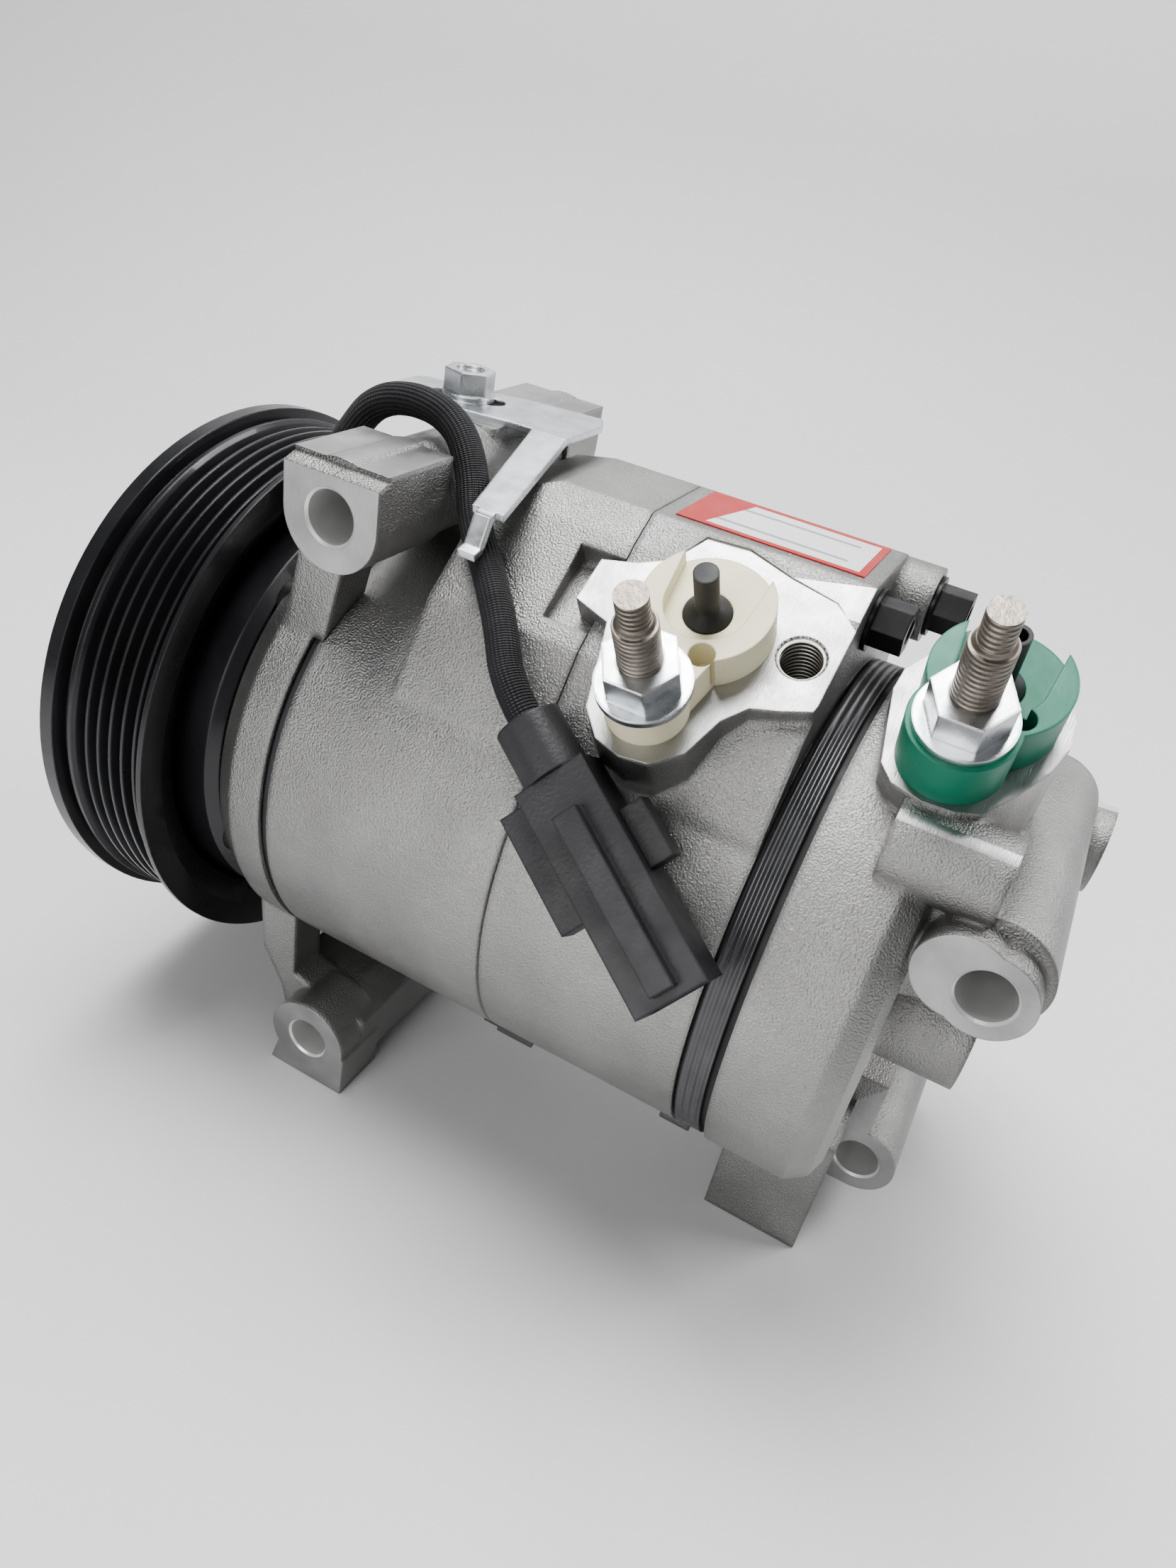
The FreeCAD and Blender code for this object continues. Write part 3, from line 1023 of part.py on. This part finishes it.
def connector_clip():
    """Flat mounting clip beside the plug."""
    w = SHELL_W / 2.0
    plate = box(-w - 6.5, -w, -SHELL_H / 2.0, -SHELL_H / 2.0 + 6.0, GLAND_L + 1.0, GLAND_L + 26.0)
    latch = box(w, w + 5.0, -2.5, 2.5, GLAND_L + 12.0, GLAND_L + 24.0)
    return AT_PLUG.put(group([plate, latch]))


def coil_gland():
    """Strain relief where the lead leaves the coil."""
    x, y, z = LEAD_POINTS[0]
    return zcyl(COIL_GLAND_R, z - 9.0, z, x, y).cut(cyl(COIL_OUT_R + 0.02, -5, COIL_SEAT_Y + 5.0))


def label():
    """Plain sticker on the flat top of the hump."""
    return box(*LABEL_BOX, HUMP_TOP_Z, HUMP_TOP_Z + LABEL_T)


AT_PLUG = Along()

def nodes():
    """Every node of the compressor by name."""
    pack = REAR_SEAM_Y
    gap = PLATE_T + REED_T + GASKET_T
    front_pack = FRONT_SEAM_Y - gap
    made = {
        "front_housing": front_housing(),
        "front_cylinder": front_cylinder(),
        "rear_cylinder": rear_cylinder(),
        "rear_housing": rear_housing(),
        "front_gasket": valve_disc(front_pack, front_pack + GASKET_T, ((24.0, 4.0), (38.0, 3.0))),
        "front_valve_plate": valve_disc(front_pack + GASKET_T, FRONT_SEAM_Y - REED_T,
                                        ((24.0, 2.5), (38.0, 2.5))),
        "front_reed_disc": reed_disc(FRONT_SEAM_Y - REED_T, FRONT_SEAM_Y),
        "rear_reed_disc": rear_pack_ring(pack, pack + 0.8, SEAM_LAND_R + 1.2),
        "rear_valve_plate": rear_pack_ring(pack + 0.8, REAR_PACK_Y - 1.6, REAR_BODY_R - 0.7),
        "rear_gasket": rear_pack_ring(REAR_PACK_Y - 1.6, REAR_PACK_Y, SEAM_LAND_R + 1.2),
        "front_seam_seal": tube(SEAM_LAND_R + 1.8, SEAM_LAND_R + 0.02, FRONT_SEAM_Y - 0.7,
                                FRONT_SEAM_Y + 0.7),
        "through_bolts": through_bolts(),
        "lug_bolts": lug_bolts(),
        "shaft": shaft(),
        "swash_plate": swash_plate(),
        "piston_rings": piston_rings(),
        "piston_shoes": piston_shoes(),
        "front_thrust_bearing": thrust_bearing(SWASH_Y - SWASH_HUB_HALF - THRUST_T),
        "rear_thrust_bearing": thrust_bearing(SWASH_Y + SWASH_HUB_HALF),
        "front_needle_bearing": needle_bearing(FRONT_SEAM_Y + NEEDLE_INSET),
        "rear_needle_bearing": needle_bearing(REAR_SEAM_Y - NEEDLE_INSET - NEEDLE_LEN),
        "shaft_seal": shaft_seal(),
        "seal_snap_ring": snap_ring(SEAL_R - 2.5, SEAL_R + 1.1, SEAL_Y[0] - SNAP_T - 0.05, 30),
        "pulley": pulley(),
        "pulley_bearing_outer": bearing_outer(),
        "pulley_bearing_inner": bearing_inner(),
        "pulley_bearing_balls": bearing_balls(),
        "bearing_snap_ring": snap_ring(NOSE_R - 0.9, NOSE_R + 1.8, NOSE_FRONT_Y + 1.05, 20),
        "field_coil": field_coil(),
        "coil_shell": coil_shell(),
        "coil_snap_ring": snap_ring(COIL_SEAT_R - 0.9, COIL_SEAT_R + 3.2,
                                    COIL_SEAT_Y - COIL_PLATE_T - SNAP_T - 0.05, 20),
        "armature_plate": armature_plate(),
        "armature_rivets": rivets(ARM_RIVET_R, rivet_degrees(SPRING_SWEEP), SPRING_FRONT,
                                  FRICTION_Y - AIR_GAP - 0.6),
        "leaf_springs": leaf_springs(),
        "clutch_hub": hub(),
        "hub_rivets": rivets(HUB_RIVET_R, rivet_degrees(0.0), HUB_PLATE_FRONT, ARMATURE_FRONT + 0.6),
        "hub_bolt": hub_bolt(),
        "hub_shims": hub_shims(),
        "suction_stud": stud(SUCTION, SUCTION_SET),
        "discharge_stud": stud(DISCHARGE, DISCHARGE_SET),
        "suction_nut": nut(SUCTION, SUCTION_SET),
        "discharge_nut": nut(DISCHARGE, DISCHARGE_SET),
        "suction_cap": shipping_cap(SUCTION, SUCTION_SET),
        "discharge_cap": shipping_cap(DISCHARGE, DISCHARGE_SET),
        "suction_plug": shipping_plug(SUCTION, SUCTION_SET, PORT_R, False),
        "discharge_plug": shipping_plug(DISCHARGE, DISCHARGE_SET, DISCHARGE_PORT_R, True),
        "cable_bracket": cable_bracket(),
        "bracket_bolt": bracket_bolt(),
        "coil_gland": coil_gland(),
        "coil_lead": coil_lead(),
        "connector_gland": connector_gland(),
        "connector_shell": connector_shell(),
        "connector_clip": connector_clip(),
        "connector_terminals": connector_terminals(),
        "label": label(),
    }
    for index in range(CYLINDERS):
        made["piston_%d" % (index + 1)] = piston(index)
    return made


def main():
    os.makedirs("parts", exist_ok=True)
    for name, shape in nodes().items():
        if not shape.isValid():
            print("invalid", name)
        shape.exportStep("parts/%s.step" % name)


main()
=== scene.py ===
import math

import bpy
from mathutils import Matrix, Vector


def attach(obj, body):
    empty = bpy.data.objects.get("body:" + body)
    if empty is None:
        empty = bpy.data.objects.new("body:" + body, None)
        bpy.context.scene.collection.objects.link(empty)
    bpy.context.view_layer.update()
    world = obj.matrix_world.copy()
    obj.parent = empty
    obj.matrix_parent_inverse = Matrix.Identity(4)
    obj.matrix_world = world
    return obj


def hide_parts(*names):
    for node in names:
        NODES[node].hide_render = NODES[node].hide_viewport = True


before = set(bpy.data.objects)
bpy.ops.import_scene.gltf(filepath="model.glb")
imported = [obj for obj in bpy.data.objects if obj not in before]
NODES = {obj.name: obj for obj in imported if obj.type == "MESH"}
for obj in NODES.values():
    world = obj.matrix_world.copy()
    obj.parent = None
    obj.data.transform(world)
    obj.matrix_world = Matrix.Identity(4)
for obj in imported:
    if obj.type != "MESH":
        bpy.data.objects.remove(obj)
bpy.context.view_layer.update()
MM = 0.001


# ---------------------------------------------------------------- camera
AZIMUTH = math.radians(111.665)
ELEVATION = math.radians(32.932)
ROLL = math.radians(11.418)
CAMERA_AT = Vector((0.2081, 0.1712, 0.1505))

back = Vector((math.sin(AZIMUTH) * math.cos(ELEVATION),
               -math.cos(AZIMUTH) * math.cos(ELEVATION), math.sin(ELEVATION)))
level = Vector((0, 0, 1)).cross(back).normalized()
upward = back.cross(level)
right = math.cos(ROLL) * level + math.sin(ROLL) * upward
top = -math.sin(ROLL) * level + math.cos(ROLL) * upward
lens = bpy.data.cameras.new("camera")
lens.lens = 24.966
lens.sensor_width = 36.0
lens.clip_start = 0.01
camera = bpy.data.objects.new("camera", lens)
bpy.context.scene.collection.objects.link(camera)
camera.matrix_world = Matrix.Translation(CAMERA_AT) @ Matrix((right, top, back)).transposed().to_4x4()
bpy.context.scene.camera = camera


# ---------------------------------------------------------------- materials
class Graph:
    """A material's node tree with a few short ways to add to it."""

    def __init__(self, name):
        self.material = bpy.data.materials.new(name)
        self.material.use_nodes = True
        self.nodes = self.material.node_tree.nodes
        self.links = self.material.node_tree.links
        self.shader = self.nodes["Principled BSDF"]
        self.place = self.nodes.new("ShaderNodeTexCoord").outputs["Object"]

    def node(self, kind, values=(), **settings):
        made = self.nodes.new(kind)
        for key, value in settings.items():
            setattr(made, key, value)
        for socket, value in values:
            if isinstance(value, bpy.types.NodeSocket):
                self.links.new(value, made.inputs[socket])
            else:
                made.inputs[socket].default_value = value
        return made

    def math(self, operation, a, b=0.0):
        return self.node("ShaderNodeMath", [(0, a), (1, b)], operation=operation).outputs[0]

    def noise(self, scale, detail=3.0, stretch=(1, 1, 1)):
        place = self.node("ShaderNodeMapping", [("Vector", self.place), ("Scale", stretch)]).outputs[0]
        return self.node("ShaderNodeTexNoise",
                         [("Vector", place), ("Scale", scale), ("Detail", detail)]).outputs["Fac"]

    def span(self, value, low, high, lo_in=0.3, hi_in=0.7):
        return self.node("ShaderNodeMapRange",
                         [(0, value), (1, lo_in), (2, hi_in), (3, low), (4, high)]).outputs[0]

    def mix(self, factor, a, b):
        made = self.nodes.new("ShaderNodeMix")
        made.data_type = "RGBA"
        for index, value in ((0, factor), (6, a), (7, b)):
            if isinstance(value, bpy.types.NodeSocket):
                self.links.new(value, made.inputs[index])
            else:
                made.inputs[index].default_value = value
        return made.outputs[2]

    def wire(self, socket, value):
        if isinstance(value, bpy.types.NodeSocket):
            self.links.new(value, self.shader.inputs[socket])
        else:
            self.shader.inputs[socket].default_value = value


def rgba(colour, gain=1.0):
    return tuple(channel * gain for channel in colour) + (1.0,)


def finish(name, colour, rough, metal=0.0, grain=900.0, depth=0.05, blotch=40.0, spread=0.14,
           bevel=0.0, stretch=(1, 1, 1), coat=0.0, extra=None):
    """A procedural finish: uneven colour and gloss, a fine grain, and edges softened by bevel (metres)."""
    g = Graph(name)
    patch = g.noise(blotch, 4.0)
    g.wire("Base Color", g.mix(g.span(patch, 0, 1), rgba(colour, 1 - spread), rgba(colour, 1 + spread)))
    g.wire("Metallic", metal)
    g.wire("Roughness", g.span(g.noise(blotch * 2.3, 3.0), max(rough - 0.07, 0.05), rough + 0.07))
    g.wire("Coat Weight", coat)
    height = g.noise(grain, 3.0, stretch)
    bump = [("Height", height), ("Strength", 1.0), ("Distance", depth * MM)]
    if extra:
        raised = extra(g)
        bump[0] = ("Height", g.math("ADD", g.math("MULTIPLY", height, 0.4), raised))
    if bevel:
        soft = g.node("ShaderNodeBevel", [("Radius", bevel)], samples=4)
        bump.append(("Normal", soft.outputs[0]))
    g.wire("Normal", g.node("ShaderNodeBump", bump).outputs[0])
    return g.material


def along(axis, pitch):
    """Rings across an axis, as the turns of a thread show."""
    def rings(g):
        reach = g.node("ShaderNodeVectorMath", [(0, g.place), (1, axis)], operation="DOT_PRODUCT")
        return g.math("SINE", g.math("MULTIPLY", reach.outputs["Value"], 2 * math.pi / pitch))
    return rings


def pad_normal(degrees):
    turn = math.radians(degrees)
    return Vector((math.cos(turn), 0, math.sin(turn)))


SUCTION_N, DISCHARGE_N = pad_normal(56), pad_normal(60)
THREAD_PITCH = 1.25 * MM

CAST = finish("cast", (0.31, 0.307, 0.30), 0.38, 0.94, 2300, 0.30, 26, 0.20, 0.0020)
MACHINED = finish("machined", (0.40, 0.40, 0.40), 0.36, 1.0, 420, 0.05, 70, 0.22, 0.0004, (1, 14, 1))
BORED = finish("bored", (0.74, 0.74, 0.73), 0.38, 0.55, 500, 0.02, 90, 0.10, 0.0, (14, 1, 1))
TAPPED = finish("tapped", (0.34, 0.33, 0.31), 0.40, 0.8, 900, 0.30, 90, 0.2, 0.0,
                extra=along(SUCTION_N, THREAD_PITCH))
STEEL = finish("steel", (0.55, 0.55, 0.55), 0.32, 1.0, 600, 0.02, 50, 0.10, 0.0004)
BLACK = finish("black_paint", (0.014, 0.014, 0.016), 0.30, 0.0, 500, 0.02, 45, 0.25, 0.0006, coat=0.35)
DARK = finish("dark_coat", (0.05, 0.05, 0.055), 0.42, 0.3, 700, 0.03, 60, 0.2, 0.0006)
ZINC = finish("zinc", (0.66, 0.68, 0.70), 0.30, 1.0, 500, 0.03, 110, 0.14, 0.0007)
BOLT = finish("black_bolt", (0.018, 0.018, 0.019), 0.38, 0.4, 900, 0.03, 80, 0.25, 0.0005)
PLATE = finish("plate", (0.13, 0.13, 0.135), 0.40, 0.9, 700, 0.16, 60, 0.15, 0.0004,
               extra=along((0, 1, 0), 1.6 * MM))
RUBBER = finish("rubber", (0.022, 0.022, 0.024), 0.55, 0.0, 900, 0.04, 90, 0.2, 0.0006)
CREAM = finish("cream", (0.74, 0.69, 0.50), 0.45, 0.0, 500, 0.05, 45, 0.05, 0.0006)
GREEN = finish("green", (0.008, 0.165, 0.098), 0.42, 0.0, 500, 0.05, 45, 0.12, 0.0006)
PLASTIC = finish("plastic", (0.020, 0.020, 0.022), 0.46, 0.0, 1300, 0.06, 60, 0.25, 0.0007)
PISTON = finish("piston", (0.68, 0.68, 0.68), 0.3, 1.0, 500, 0.02, 60, 0.08, 0.0004)
SWASH = finish("swash", (0.30, 0.30, 0.31), 0.4, 0.9, 700, 0.03, 60, 0.12, 0.0004)
BRASS = finish("brass", (0.68, 0.50, 0.22), 0.3, 1.0, 600, 0.02, 60, 0.12, 0.0004)
RESIN = finish("resin", (0.20, 0.07, 0.035), 0.5, 0.0, 600, 0.05, 60, 0.2, 0.0004)
STUD_S = finish("stud_a", (0.27, 0.24, 0.21), 0.46, 0.9, 1500, 0.30, 300, 0.25, 0.0,
                extra=along(SUCTION_N, THREAD_PITCH))
STUD_D = finish("stud_b", (0.27, 0.24, 0.21), 0.46, 0.9, 1500, 0.30, 300, 0.25, 0.0,
                extra=along(DISCHARGE_N, THREAD_PITCH))


def weave(g):
    """A braid: two sets of slanted strands round the lead."""
    strands_along, strands_round = 760.0, 2 * math.pi * 12
    across = g.node("ShaderNodeSeparateXYZ", [(0, g.node("ShaderNodeTexCoord").outputs["UV"])])
    u = g.math("MULTIPLY", across.outputs[0], strands_along)
    v = g.math("MULTIPLY", across.outputs[1], strands_round)
    return g.math("MULTIPLY", g.math("SINE", g.math("ADD", u, v)),
                  g.math("SINE", g.math("SUBTRACT", u, v)))


SLEEVE = finish("sleeve", (0.018, 0.018, 0.020), 0.62, 0.0, 1500, 0.35, 200, 0.3, extra=weave)


def label_finish():
    """A printed film: a red edge, wide at its slanted end, and a white panel with two grey stripes."""
    g = Graph("label_film")
    place = g.node("ShaderNodeSeparateXYZ", [(0, g.place)]).outputs
    middle_x, middle_y = -4.5 * MM, 118.0 * MM
    panel_half_x, panel_half_y, panel_front = 8.9 * MM, 18.4 * MM, 105.0 * MM
    stripe_at, stripe_half, stripe_reach = 5.0 * MM, 0.6 * MM, 15.0 * MM
    x = g.math("ABSOLUTE", g.math("ADD", place[0], -middle_x))
    y = g.math("ABSOLUTE", g.math("SUBTRACT", place[1], middle_y))
    edge = g.math("MAXIMUM", g.math("GREATER_THAN", x, panel_half_x), g.math("GREATER_THAN", y, panel_half_y))
    slant = g.math("ADD", place[1], g.math("MULTIPLY", place[0], 0.25))
    edge = g.math("MAXIMUM", edge, g.math("LESS_THAN", slant, panel_front))
    off_stripe = g.math("ABSOLUTE", g.math("SUBTRACT", x, stripe_at))
    stripe = g.math("MULTIPLY", g.math("LESS_THAN", off_stripe, stripe_half),
                    g.math("LESS_THAN", y, stripe_reach))
    paper = g.mix(g.span(g.noise(60.0), 0, 1), (0.62, 0.62, 0.63, 1), (0.70, 0.70, 0.71, 1))
    inked = g.mix(stripe, paper, (0.30, 0.31, 0.33, 1))
    g.wire("Base Color", g.mix(edge, inked, (0.40, 0.018, 0.014, 1)))
    g.wire("Roughness", g.span(g.noise(150.0), 0.25, 0.36))
    return g.material


LABEL = label_finish()

FINISH = {}
for material, names in (
        (CAST, "front_housing front_cylinder rear_cylinder rear_housing"),
        (BLACK, "pulley coil_shell"), (DARK, "armature_plate clutch_hub leaf_springs"),
        (ZINC, "bracket_bolt cable_bracket suction_nut discharge_nut"),
        (STUD_S, "suction_stud"), (STUD_D, "discharge_stud"),
        (BOLT, "lug_bolts through_bolts hub_bolt"), (PLATE, "rear_valve_plate front_valve_plate"),
        (RUBBER, "rear_gasket front_gasket front_seam_seal rear_reed_disc shaft_seal suction_plug"
                 " discharge_plug"),
        (PISTON, "piston_1 piston_2 piston_3 piston_4 piston_5"), (SWASH, "swash_plate"),
        (BRASS, "piston_shoes connector_terminals"), (RESIN, "field_coil"), (CREAM, "suction_cap"),
        (GREEN, "discharge_cap"), (PLASTIC, "connector_gland connector_shell connector_clip coil_gland"
                                            " piston_rings"),
        (SLEEVE, "coil_lead"), (LABEL, "label")):
    for name in names.split():
        FINISH[name] = material

for name, node in NODES.items():
    node.data.materials.clear()
    node.data.materials.append(FINISH.get(name, STEEL))

# ---------------------------------------------------------------- faces and bores cut after casting
CASTINGS = ("front_housing", "front_cylinder", "rear_cylinder", "rear_housing")
CAST_SKIN, FLAT_CUT, BORE_CUT, TAPPED_CUT = range(4)
ALONG_X = Vector((1, 0, 0))
# ears: (y, z, near face's x, far face's x, reach of the face round the bore), in metres
EARS = ((0.0459, 0.0721, 0.0494, -0.0400, 0.016), (0.0464, -0.0675, 0.0509, -0.0490, 0.019),
        (0.187, 0.029, 0.0450, -0.0340, 0.016), (0.181, -0.062, 0.0060, -0.0440, 0.016))
EAR_BORE_REACH = 0.0068
# pads: (outward normal, height over the shaft's axis, middle, reach round it), in metres
PADS = ((SUCTION_N, 0.0700, Vector((0.034, 0.121, 0.061)), 0.033),
        (DISCHARGE_N, 0.0650, Vector((0.030, 0.169, 0.058)), 0.05))
TAPPED_AT = Vector((0.0249, 0.1348, 0.0677))
TAPPED_REACH = 0.0046
BRACKET_SEAT_Z = 0.082
FLAT = 0.985
FACE_DEPTH = 0.4 * MM


def cut_faces():
    """(outward normal, distance from the origin, middle, reach) of each flat face at an ear or a pad."""
    for y, z, near, far, reach in EARS:
        yield ALONG_X, near, Vector((near, y, z)), reach
        yield -ALONG_X, -far, Vector((far, y, z)), reach
    yield from PADS


def off_axis(centre, point, axis):
    offset = centre - point
    return (offset - axis * offset.dot(axis)).length


def cut_kind(centre, normal):
    """How the face was made: its place in the casting's list of materials."""
    for outward, distance, middle, reach in cut_faces():
        if (normal.dot(outward) > FLAT and abs(centre.dot(outward) - distance) < FACE_DEPTH
                and (centre - middle).length < reach):
            return FLAT_CUT
    for ear in EARS:
        if off_axis(centre, Vector((0, ear[0], ear[1])), ALONG_X) < EAR_BORE_REACH:
            return BORE_CUT
    if off_axis(centre, TAPPED_AT, SUCTION_N) < TAPPED_REACH:
        return TAPPED_CUT
    return FLAT_CUT if normal.z > FLAT and centre.z > BRACKET_SEAT_Z else CAST_SKIN


for name in CASTINGS:
    mesh = NODES[name].data
    for material in (MACHINED, BORED, TAPPED):
        mesh.materials.append(material)
    for face in mesh.polygons:
        face.material_index = cut_kind(face.center, face.normal)


# ---------------------------------------------------------------- the coil's lead
LEAD_R = 0.0034
LEAD = ((0.015, 0.0174, 0.057), (0.015, 0.0178, 0.066), (0.015, 0.0235, 0.0760),
        (0.015, 0.0300, 0.0850), (0.0150, 0.0400, 0.0880), (0.0172, 0.0515, 0.0868),
        (0.0203, 0.0583, 0.0800), (0.0245, 0.0625, 0.0705), (0.0315, 0.071, 0.0655),
        (0.0395, 0.080, 0.0590), (0.0456, 0.0862, 0.051), (0.0485, 0.0935, 0.0466))
curve = bpy.data.curves.new("lead_sleeve", "CURVE")
curve.dimensions = "3D"
curve.bevel_depth = LEAD_R
curve.bevel_resolution = 8
curve.resolution_u = 16
spline = curve.splines.new("NURBS")
spline.points.add(len(LEAD) - 1)
for point, place in zip(spline.points, LEAD):
    point.co = (*place, 1.0)
spline.order_u = 3
spline.use_endpoint_u = True
lead = bpy.data.objects.new("lead_sleeve", curve)
bpy.context.scene.collection.objects.link(lead)
curve.materials.append(SLEEVE)
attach(lead, "casing")
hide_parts("coil_lead")


# ---------------------------------------------------------------- floor and light
FLOOR_Z = -0.0812
AWAY = Vector((-back.x, -back.y, 0)).normalized()
ASIDE = Vector((-AWAY.y, AWAY.x, 0))
MIDDLE = Vector((0, 0.09, FLOOR_Z))


def sweep(name, line, half_width):
    """A sheet from a line of (distance away, height) points, as wide on both sides."""
    corners = [MIDDLE + AWAY * reach + Vector((0, 0, height)) + ASIDE * side
               for reach, height in line for side in (-half_width, half_width)]
    faces = [(2 * i, 2 * i + 1, 2 * i + 3, 2 * i + 2) for i in range(len(line) - 1)]
    mesh = bpy.data.meshes.new(name)
    mesh.from_pydata(corners, [], faces)
    mesh.shade_smooth()
    made = bpy.data.objects.new(name, mesh)
    bpy.context.scene.collection.objects.link(made)
    return made


CURVE_AT, CURVE_R, CURVE_STEPS = 0.42, 0.22, 12
WALL_H, FLOOR_NEAR, FLOOR_HALF_W = 2.2, -2.0, 3.0
line = [(FLOOR_NEAR, 0.0)]
for step in range(CURVE_STEPS + 1):
    turn = math.radians(90.0 * step / CURVE_STEPS)
    line.append((CURVE_AT + CURVE_R * math.sin(turn), CURVE_R * (1 - math.cos(turn))))
line.append((CURVE_AT + CURVE_R, WALL_H))
floor = sweep("floor", line, FLOOR_HALF_W)
floor.data.materials.append(finish("floor", (0.66, 0.66, 0.665), 0.65, 0.0, 300, 0.01, 4, 0.01))

world = bpy.data.worlds.new("world")
bpy.context.scene.world = world
world.use_nodes = True
world.node_tree.nodes["Background"].inputs[0].default_value = (0.90, 0.92, 0.95, 1)
world.node_tree.nodes["Background"].inputs[1].default_value = 0.16


def lamp(name, place, aim, size, power):
    light = bpy.data.lights.new(name, "AREA")
    light.size = size
    light.energy = power
    made = bpy.data.objects.new(name, light)
    bpy.context.scene.collection.objects.link(made)
    made.location = place
    made.rotation_euler = (Vector(aim) - Vector(place)).to_track_quat("-Z", "Y").to_euler()


lamp("key", (-0.05, -0.10, 1.00), (0.05, 0.10, 0), 0.6, 15.0)
lamp("fill", (1.00, 0.10, 0.60), (0, 0.10, 0), 0.5, 3.2)
lamp("rim", (-0.45, 0.75, 0.65), (0, 0.10, 0), 0.5, 6.0)
lamp("low", (0.55, -0.05, 0.10), (0, 0.08, 0), 0.25, 0.9)
bpy.context.scene.view_settings.look = "AgX - Medium High Contrast"
